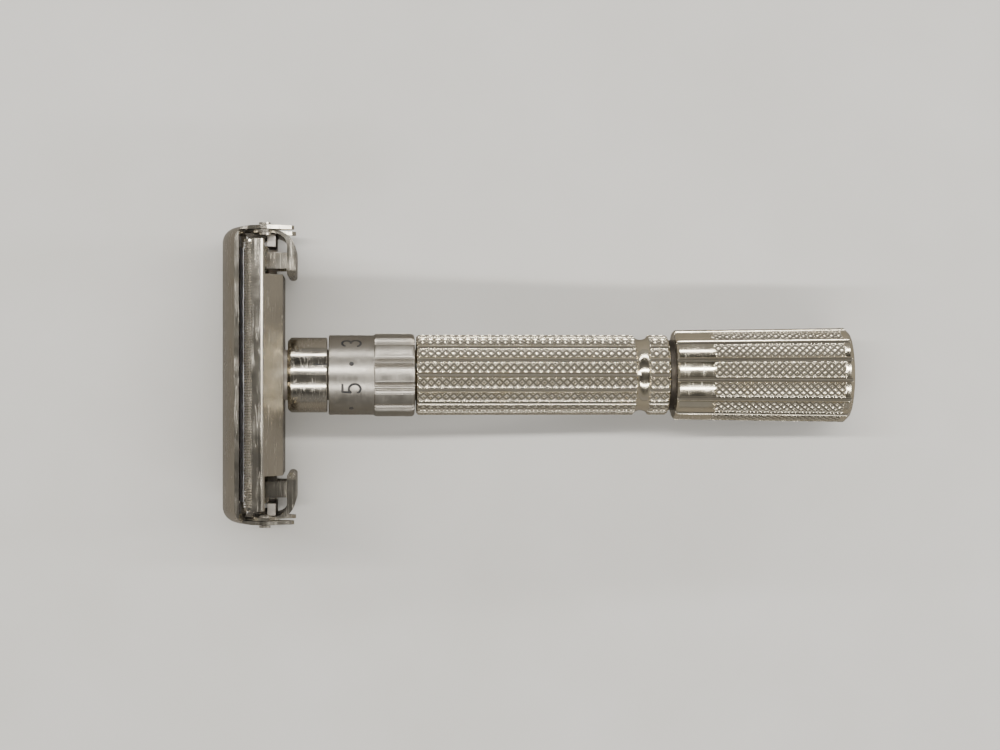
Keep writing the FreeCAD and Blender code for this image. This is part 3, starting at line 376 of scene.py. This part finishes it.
def stroke_piece(name, strokes, half, place, body, material):
    """Flat-topped strokes with round ends, laid on a surface by place(across, up, depth)."""
    section = [(1, 0), (0.5, 0), (0, 0), (-0.5, 0), (-1, 0), (-1, 1), (0, 1), (1, 1)]
    size = len(section)
    points, faces = [], []
    for stroke in strokes:
        path = [Vector((*point, 0)) for point in stroke]
        first, last = path[0], path[-1]
        head = (first - path[1]).normalized()
        tail = (last - path[-2]).normalized()
        closed = (first - last).length < 1e-4
        stations = [(point, half) for point in path]
        if not closed:
            for reach, width in ((0.5, 0.87), (0.87, 0.5), (1.0, 0.12)):
                stations.insert(0, (first + head * half * reach, half * width))
                stations.append((last + tail * half * reach, half * width))
        base = len(points)
        for i, (point, width) in enumerate(stations):
            before = stations[max(i - 1, 0)][0]
            after = stations[min(i + 1, len(stations) - 1)][0]
            if closed and i in (0, len(stations) - 1):
                before, after = stations[-2][0], stations[1][0]
            run = (after - before).normalized()
            side = Vector((-run.y, run.x, 0)) * width
            for share, depth in section:
                corner = point + side * share
                points.append(place(corner.x, corner.y, depth))
        for i in range(len(stations) - 1):
            for k in range(size):
                a, b = base + i * size + k, base + i * size + (k + 1) % size
                faces.append((a, b, b + size, a + size))
        if not closed:
            end = base + (len(stations) - 1) * size
            faces += [tuple(range(base, base + size))[::-1], tuple(range(end, end + size))]
    add_piece(name, points, faces, body, material, 40.0)


def on_cylinder(radius, degrees, middle, proud=0.008, depth=0.12):
    """Lays a flat drawing on the handle: across runs round it and up runs towards the head."""

    def place(across, up, sunk):
        level = radius + proud - sunk * depth
        return polar(level, degrees + math.degrees(across / radius), middle + up)

    return place


def build_figures(material):
    """Settings 1 to 9, an odd figure or a dot for every click, counted round the dial."""
    middle = (DIAL_BOTTOM + DIAL_GRIP + DIAL_TOP) / 2
    figure_half, dot_radius = 0.17, 0.34
    for setting in range(1, 10):
        angle = INDEX_ANGLE + (INDEX_SETTING - setting) * CLICK
        name = f"dial_mark_{setting}"
        place = on_cylinder(DIAL_RING, angle, middle)
        strokes = figure_strokes().get(setting)
        if strokes:
            stroke_piece(name, strokes, figure_half, place, "dial", material)
        else:
            dot = [[(0.0, -0.01), (0.0, 0.01)]]
            stroke_piece(name, dot, dot_radius, place, "dial", material)
    place = on_cylinder(NECK_RADIUS, INDEX_ANGLE, NECK_BOTTOM + 1.1, -0.06, 0.1)
    mark, mark_half = [line((0, -0.95), (0, 0.85))], 0.12
    stroke_piece("setting_mark", mark, mark_half, place, "handle", material)


# ---------------------------------------------------------------------------------------------------------
# Guard


def bar_section(drop):
    """Section of the upper safety bar, (x, z), with its top lowered by drop, as in a notch between teeth."""
    outline = [
        (10.95, -3.0),
        (12.15, -3.0),
        (12.5, -2.75),
        (12.68, -2.4),
        (12.73, -1.9),
        (12.74, -1.2),
        (12.66 - drop * 0.7, -0.7 - drop * 0.1),
        (12.42 - drop * 0.8, -0.28 - drop * 0.6),
        (12.1 - drop * 0.4, -0.05 - drop),
        (11.8, -0.02 - drop),
        (11.52, -0.2 - drop * 0.7),
        (11.3, -0.6 - drop * 0.2),
        (11.12, -1.2),
        (10.98, -2.0),
    ]
    return [(x, BAR_TOP + z) for x, z in outline]


def build_bars(material):
    """Both safety bars, with fine teeth along their top edge."""
    pitch, depth, half_length = 0.39, 0.2, 19.9
    count = int(2 * (half_length - 0.35) / pitch)
    stations = [(-half_length, 0.35), (-half_length + 0.12, 0.05)]
    start = -count * pitch / 2
    for i in range(count):
        left = start + i * pitch
        stations += [(left + 0.02, 0.0), (left + 0.15, 0.0), (left + 0.22, depth), (left + 0.33, depth)]
    stations += [(start + count * pitch + 0.02, 0.0), (half_length - 0.12, 0.05), (half_length, 0.35)]
    for name, side in (("safety_bar_upper", 1), ("safety_bar_lower", -1)):
        points, faces = [], []
        for y, drop in stations:
            points += [Vector((side * x, y, z)) for x, z in bar_section(drop)]
        size = len(bar_section(0))
        for i in range(len(stations) - 1):
            for k in range(size):
                a, b = i * size + k, i * size + (k + 1) % size
                face = (a, b, b + size, a + size)
                faces.append(face if side > 0 else face[::-1])
        ends = [tuple(range(size))[::-1], tuple(range(len(points) - size, len(points)))]
        faces += ends if side > 0 else [end[::-1] for end in ends]
        add_piece(name, points, faces, "guard", material, 35.0)


def build_tray(material):
    """The tray between the bars: a floor with a round hole for the neck's collar, and two sloping walls."""
    half_length, hole, segments = 14.8, 4.93, 64
    floor, edge = GUARD_BOTTOM, 8.3
    reach_x = edge + 0.02  # the floor runs a little way into the walls
    web = floor + 0.7
    foot = BAR_TOP - 3.0
    section = [
        (edge, floor),
        (8.9, floor),
        (12.2, foot + 0.05),
        (12.35, foot + 0.5),
        (11.0, foot + 0.9),
        (8.62, web + 0.08),
        (edge, web),
    ]
    points, faces = [], []

    def prism(outline, low, high):
        base, size = len(points), len(outline)
        for y in (low, high):
            points.extend(Vector((x, y, z)) for x, z in outline)
        for k in range(size):
            a, b = base + k, base + (k + 1) % size
            faces.append((a, b, b + size, a + size))
        faces.append(tuple(range(base, base + size))[::-1])
        faces.append(tuple(range(base + size, base + 2 * size)))

    prism(section, -half_length, half_length)
    prism([(-x, z) for x, z in reversed(section)], -half_length, half_length)
    rim = []
    for i in range(segments):
        angle = 2 * math.pi * (i + 0.5) / segments
        ring = Vector((math.cos(angle), math.sin(angle), 0))
        reach = min(reach_x / max(abs(ring.x), 1e-6), half_length / max(abs(ring.y), 1e-6))
        rim.append((ring * hole, ring * reach))
    corner = math.atan2(half_length, reach_x)
    for _, far in rim:
        if abs(math.atan2(abs(far.y), abs(far.x)) - corner) < 0.05:
            far.x = math.copysign(reach_x, far.x)
            far.y = math.copysign(half_length, far.y)
    base = len(points)
    for near, far in rim:
        for z in (floor, web):
            points.append(Vector((near.x, near.y, z)))
            points.append(Vector((far.x, far.y, z)))
    for i in range(segments):
        a, b = base + i * 4, base + (i + 1) % segments * 4
        faces.append((a, b, b + 1, a + 1))
        faces.append((a + 2, a + 3, b + 3, b + 2))
        faces.append((a, a + 2, b + 2, b))
        faces.append((a + 1, b + 1, b + 3, a + 3))
    piece = add_piece("guard_tray", points, faces, "guard", material, 30.0)
    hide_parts("guard")


# ---------------------------------------------------------------------------------------------------------
# Materials


class Graph:
    """A material and short ways to add and join its nodes."""

    def __init__(self, name):
        self.material = bpy.data.materials.new(name)
        self.material.use_nodes = True
        self.tree = self.material.node_tree
        self.tree.nodes.clear()
        self.shader = self.add("ShaderNodeBsdfPrincipled")
        output = self.add("ShaderNodeOutputMaterial")
        self.tree.links.new(self.shader.outputs[0], output.inputs["Surface"])
        self.place = self.add("ShaderNodeTexCoord").outputs["Object"]

    def feed(self, socket, value):
        if isinstance(value, bpy.types.NodeSocket):
            self.tree.links.new(value, socket)
        else:
            socket.default_value = value

    def add(self, kind, inputs=None, **settings):
        node = self.tree.nodes.new(kind)
        for key, value in settings.items():
            setattr(node, key, value)
        for key, value in (inputs or {}).items():
            self.feed(node.inputs[key], value)
        return node

    def maths(self, operation, first, second=0.0, clamp=False):
        node = self.add("ShaderNodeMath", {0: first, 1: second}, operation=operation, use_clamp=clamp)
        return node.outputs[0]

    def noise(self, scale, detail=3.0, stretch=None, turn=(0, 0, 0), roughness=0.55):
        """Noise of a given number of features to a metre, perhaps stretched along a turned axis."""
        where = self.place
        if stretch:
            where = self.add(
                "ShaderNodeMapping", {"Vector": self.place, "Rotation": turn, "Scale": stretch}
            ).outputs[0]
        node = self.add(
            "ShaderNodeTexNoise", {"Vector": where, "Scale": scale, "Detail": detail, "Roughness": roughness}
        )
        return node.outputs["Fac"]

    def band(self, value, low, high, start=0.0, stop=1.0):
        """value, from low to high, brought to start to stop."""
        node = self.add("ShaderNodeMapRange", {0: value, 1: low, 2: high, 3: start, 4: stop})
        return node.outputs[0]

    def mix(self, share, first, second):
        """A colour between two: the node keeps its colour sockets behind those for numbers and vectors."""
        inputs = {0: share, 6: first, 7: second}
        return self.add("ShaderNodeMix", inputs, data_type="RGBA").outputs[2]

    def scratches(self, turns, size=900.0):
        """Fine hairlines in several directions, 1 on a hairline."""
        total = None
        for i, turn in enumerate(turns):
            lines = self.noise(size + 130 * i, 2.0, (1.0, 0.035, 0.3), (0.2 * i, 0.1, turn), 0.6)
            thin = self.band(self.maths("ABSOLUTE", self.maths("SUBTRACT", lines, 0.5)), 0.0, 0.012, 1.0, 0.0)
            patch = self.band(self.noise(120.0 + 20 * i, 1.0), 0.45, 0.6)
            thin = self.maths("MULTIPLY", thin, patch)
            total = thin if total is None else self.maths("MAXIMUM", total, thin)
        return total

    def crevice(self, distance):
        """1 in the open, 0 deep in a crevice."""
        node = self.add("ShaderNodeAmbientOcclusion", {"Distance": distance}, samples=8)
        return node.outputs["AO"]

    def rings(self, scale):
        """Turning marks: noise that changes only along the handle."""
        along = self.add(
            "ShaderNodeVectorMath", {0: self.place, 1: tuple(ALONG)}, operation="DOT_PRODUCT"
        ).outputs["Value"]
        inputs = {"W": along, "Scale": scale, "Detail": 3.0}
        return self.add("ShaderNodeTexNoise", inputs, noise_dimensions="1D").outputs["Fac"]

    def bump(self, height, strength, distance):
        node = self.add("ShaderNodeBump", {"Height": height, "Strength": strength, "Distance": distance})
        return node.outputs[0]


def colour(red, green, blue):
    return (red, green, blue, 1.0)


def plated_metal(name, tint, soil_and_shade_colour, smoothness, brushing=0.0, soil_and_shade_weight=0.6, crevice=0.0005):
    """Plated metal: clouded colour, hairline scratches, haze, and a darkening in the crevices that is partly
    soiling and partly painted shade.

    A crevice of 0 takes this darkening from the depth below the turned surface that a grip keeps for every
    point."""
    g = Graph(name)
    cloud = g.noise(160.0, 4.0)
    fine = g.noise(1500.0, 3.0)
    base = g.mix(g.band(cloud, 0.35, 0.68), colour(*tint), colour(*[c * 0.86 for c in tint]))
    warm = g.band(g.noise(260.0, 5.0), 0.56, 0.72, 0.0, 0.35)
    base = g.mix(warm, base, colour(tint[0] * 0.92, tint[1] * 0.82, tint[2] * 0.66))
    # Soiling together with painted shade: crevices, found by ambient occlusion or by a grip's depth, are
    # drawn towards the dark colour, less metallic and rougher.
    if crevice:
        hidden = g.maths("SUBTRACT", 1.0, g.band(g.crevice(crevice), 0.35, 0.95))
    else:
        hidden = g.band(g.add("ShaderNodeAttribute", attribute_name="soil_and_shade").outputs["Fac"], 0.2, 0.75)
    soil_and_shade = g.maths("MULTIPLY", hidden, soil_and_shade_weight)
    base = g.mix(soil_and_shade, base, colour(*soil_and_shade_colour))
    marks = g.scratches((0.15, 1.1, 2.2, 2.9))
    haze = g.band(g.noise(420.0, 5.0), 0.4, 0.75, 0.0, 0.1)
    rough = g.maths("ADD", g.maths("ADD", smoothness, haze), g.maths("MULTIPLY", marks, 0.16))
    rough = g.maths("ADD", rough, g.maths("MULTIPLY", soil_and_shade, 0.35), True)
    height = g.maths("SUBTRACT", g.maths("MULTIPLY", fine, 0.25), g.maths("MULTIPLY", marks, 0.3))
    if brushing:
        height = g.maths("ADD", height, g.maths("MULTIPLY", g.rings(9000.0), brushing))
        rough = g.maths("ADD", rough, g.maths("MULTIPLY", g.rings(2600.0), 0.12))
    g.feed(g.shader.inputs["Base Color"], base)
    g.feed(g.shader.inputs["Metallic"], g.maths("SUBTRACT", 1.0, g.maths("MULTIPLY", soil_and_shade, 0.7)))
    g.feed(g.shader.inputs["Roughness"], rough)
    g.feed(g.shader.inputs["Normal"], g.bump(height, 0.35, 0.00002))
    return g.material


def enamel(name):
    """Black filling of the engraved figures, a little uneven and dusty."""
    g = Graph(name)
    dust = g.band(g.noise(900.0, 4.0), 0.45, 0.75)
    base = g.mix(dust, colour(0.008, 0.008, 0.009), colour(0.05, 0.045, 0.04))
    g.feed(g.shader.inputs["Base Color"], base)
    g.feed(g.shader.inputs["Roughness"], g.band(g.noise(2200.0, 2.0), 0.3, 0.7, 0.35, 0.6))
    g.feed(g.shader.inputs["Normal"], g.bump(g.noise(3000.0, 2.0), 0.4, 0.00003))
    return g.material


# Painted shade: the floor's colour as the metal mirrors it, darker than the floor itself, standing in for
# dark walls close by.
FLOOR_SHADE_IN_REFLECTIONS = (0.13, 0.12, 0.105)


def floor_material():
    """Pale matt table top, with a painted dark shade where the metal mirrors it, as if dark walls stood close
    by.
    """
    g = Graph("pale_table")
    cloud = g.band(g.noise(35.0, 6.0), 0.3, 0.7)
    base = g.mix(cloud, colour(0.50, 0.49, 0.46), colour(0.54, 0.53, 0.505))
    mirrored = g.add("ShaderNodeLightPath").outputs["Is Glossy Ray"]
    # Painted reflection shade: glossy rays see the floor dark.
    g.feed(g.shader.inputs["Base Color"], g.mix(mirrored, base, colour(*FLOOR_SHADE_IN_REFLECTIONS)))
    g.feed(g.shader.inputs["Roughness"], 0.75)
    g.feed(g.shader.inputs["Normal"], g.bump(g.noise(1200.0, 4.0), 0.15, 0.0001))
    return g.material


NICKEL = (0.56, 0.52, 0.44)
# Dark colour the crevices are drawn towards: partly soiling, partly painted shade.
SOIL_AND_SHADE = (0.045, 0.036, 0.026)
MATERIALS = {
    "bright": plated_metal("bright_nickel", NICKEL, SOIL_AND_SHADE, 0.13),
    # The knurl's flutes and grooves are drawn nearly black: soiling and painted shade.
    "knurl": plated_metal("knurled_nickel", (0.80, 0.73, 0.575), (0.035, 0.03, 0.022), 0.11, 0.0, 0.92, 0.0),
    "satin": plated_metal("ring_brushed_nickel", (0.39, 0.365, 0.32), SOIL_AND_SHADE, 0.24, 0.8),
    "inside": plated_metal("dull_inner_nickel", (0.36, 0.335, 0.3), SOIL_AND_SHADE, 0.34, 0.0, 0.8),
    "brass": plated_metal("turned_brass", (0.5, 0.36, 0.18), (0.05, 0.035, 0.02), 0.32, 0.5, 0.8),
    "steel": plated_metal("plain_steel", (0.4, 0.39, 0.37), SOIL_AND_SHADE, 0.28, 0.3),
    "spring": plated_metal("spring_wire", (0.3, 0.29, 0.28), SOIL_AND_SHADE, 0.3),
    "dark": plated_metal("oily_steel", (0.07, 0.062, 0.052), SOIL_AND_SHADE, 0.42),
    "blade": plated_metal("blade_steel", (0.5, 0.5, 0.52), (0.03, 0.03, 0.03), 0.22),
}
ENAMEL = enamel("black_filling")
NODE_MATERIALS = {
    "neck_collar": "bright",
    "door_upper": "bright",
    "door_lower": "bright",
    "end_cap_rear": "bright",
    "end_cap_front": "bright",
    "door_carrier": "inside",
    "hinge_pins": "bright",
    "driver_pins": "steel",
    "guard_legs": "inside",
    "blade_platform": "inside",
    "inner_barrel": "brass",
    "bottom_bushing": "brass",
    "drive_spindle": "brass",
    "thrust_washer": "dark",
    "retaining_ring": "spring",
    "drive_rod": "steel",
    "detent_ball": "steel",
    "detent_spring": "spring",
    "guard_spring": "spring",
    "knob_end_cap": "satin",
    "blade": "blade",
}


def dress_nodes():
    """Gives every CAD node that stays its own finish."""
    for node, material in NODE_MATERIALS.items():
        piece = frame["nodes"][node]
        piece.data.materials.clear()
        piece.data.materials.append(MATERIALS[material])


# ---------------------------------------------------------------------------------------------------------
# Stage


def build_floor():
    mesh = bpy.data.meshes.new("floor")
    size = 1.5
    corners = [(-size, -size, 0), (size, -size, 0), (size, size, 0), (-size, size, 0)]
    mesh.from_pydata(corners, [], [(0, 1, 2, 3)])
    mesh.materials.append(floor_material())
    floor = bpy.data.objects.new("floor", mesh)
    bpy.context.scene.collection.objects.link(floor)


SOFTBOXES = [  # name, place, aim, size and power
    ("key", (0.0, 0.14, 0.5), (0, 0, 0.01), (1.2, 0.03), 5.0),
    ("side", (0.0, 0.5, 0.25), (0, 0, 0.01), (1.2, 0.03), 2.8),
    ("fill", (0.0, -0.3, 0.45), (0, 0, 0.01), (1.2, 0.03), 3.6),
    ("end", (0.55, 0.05, 0.3), (0.02, 0, 0.01), (0.06, 0.4), 1.0),
]


def add_softbox(name, place, aim, size, power, tint=(1.0, 0.98, 0.95)):
    light = bpy.data.lights.new(name, "AREA")
    light.shape = "RECTANGLE"
    light.size, light.size_y = size
    light.energy = power
    light.color = tint
    lamp = bpy.data.objects.new(name, light)
    lamp.location = place
    lamp.rotation_euler = (Vector(aim) - Vector(place)).to_track_quat("-Z", "Y").to_euler()
    bpy.context.scene.collection.objects.link(lamp)


def build_world():
    """Dim surroundings with a paler band low down, as of a room with pale walls."""
    world = bpy.data.worlds.new("studio")
    bpy.context.scene.world = world
    world.use_nodes = True
    tree = world.node_tree
    tree.nodes.clear()
    output = tree.nodes.new("ShaderNodeOutputWorld")
    back = tree.nodes.new("ShaderNodeBackground")
    ramp = tree.nodes.new("ShaderNodeValToRGB")
    split = tree.nodes.new("ShaderNodeSeparateXYZ")
    where = tree.nodes.new("ShaderNodeTexCoord")
    stops = [(0.0, 0.3), (0.35, 0.26), (0.55, 0.06), (0.8, 0.04), (1.0, 0.1)]
    elements = ramp.color_ramp.elements
    elements.remove(elements[1])
    for i, (place, level) in enumerate(stops):
        element = elements[0] if i == 0 else elements.new(place)
        element.position = place
        element.color = (level, level * 0.98, level * 0.95, 1)
    tree.links.new(where.outputs["Generated"], split.inputs[0])
    tree.links.new(split.outputs["Z"], ramp.inputs[0])
    tree.links.new(ramp.outputs[0], back.inputs["Color"])
    tree.links.new(back.outputs[0], output.inputs[0])
    back.inputs["Strength"].default_value = 1.0


CAMERA_PLACE = (-0.00585, 0.0, 0.4)
CAMERA_LENS = 92.6


def build_camera():
    """Straight above, a little left of the razor's middle."""
    camera = bpy.data.cameras.new("camera")
    camera.lens = CAMERA_LENS
    camera.sensor_width = 36.0
    camera.clip_start = 0.01
    eye = bpy.data.objects.new("camera", camera)
    eye.location = CAMERA_PLACE
    bpy.context.scene.collection.objects.link(eye)
    bpy.context.scene.camera = eye


dress_nodes()
build_handle_tube(MATERIALS["knurl"])
build_knob(MATERIALS["knurl"])
build_dial(MATERIALS["satin"])
build_figures(ENAMEL)
build_bars(MATERIALS["bright"])
build_tray(MATERIALS["bright"])
build_floor()
for softbox in SOFTBOXES:
    add_softbox(*softbox)
build_world()
build_camera()
